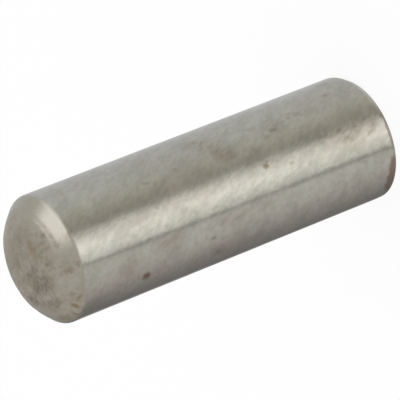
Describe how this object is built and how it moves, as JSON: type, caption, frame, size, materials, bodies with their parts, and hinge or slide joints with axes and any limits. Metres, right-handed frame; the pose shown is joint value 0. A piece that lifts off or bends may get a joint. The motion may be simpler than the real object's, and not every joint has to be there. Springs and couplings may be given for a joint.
{
  "type": "parallel pin",
  "caption": "Plain ground steel pin with a wide chamfer rounded into its face at one end and a shallow lead chamfer at the other, for locating or pivoting a part.",
  "frame": {"origin": "centre of the bottom end face, the one with the shallow lead chamfer", "axes": "+Z along the pin's axis, up to the end with the wide chamfer; the pin is a solid of revolution, so X and Y are free"},
  "size_m": [0.004, 0.004, 0.0123],
  "materials": {
    "ground_steel": "centreless-ground steel, satin, with light tumbling marks, faint brown staining and a few rust specks; the end faces and chamfers are duller"
  },
  "bodies": {
    "root": {"pin": "ground_steel"}
  },
  "joints": []
}
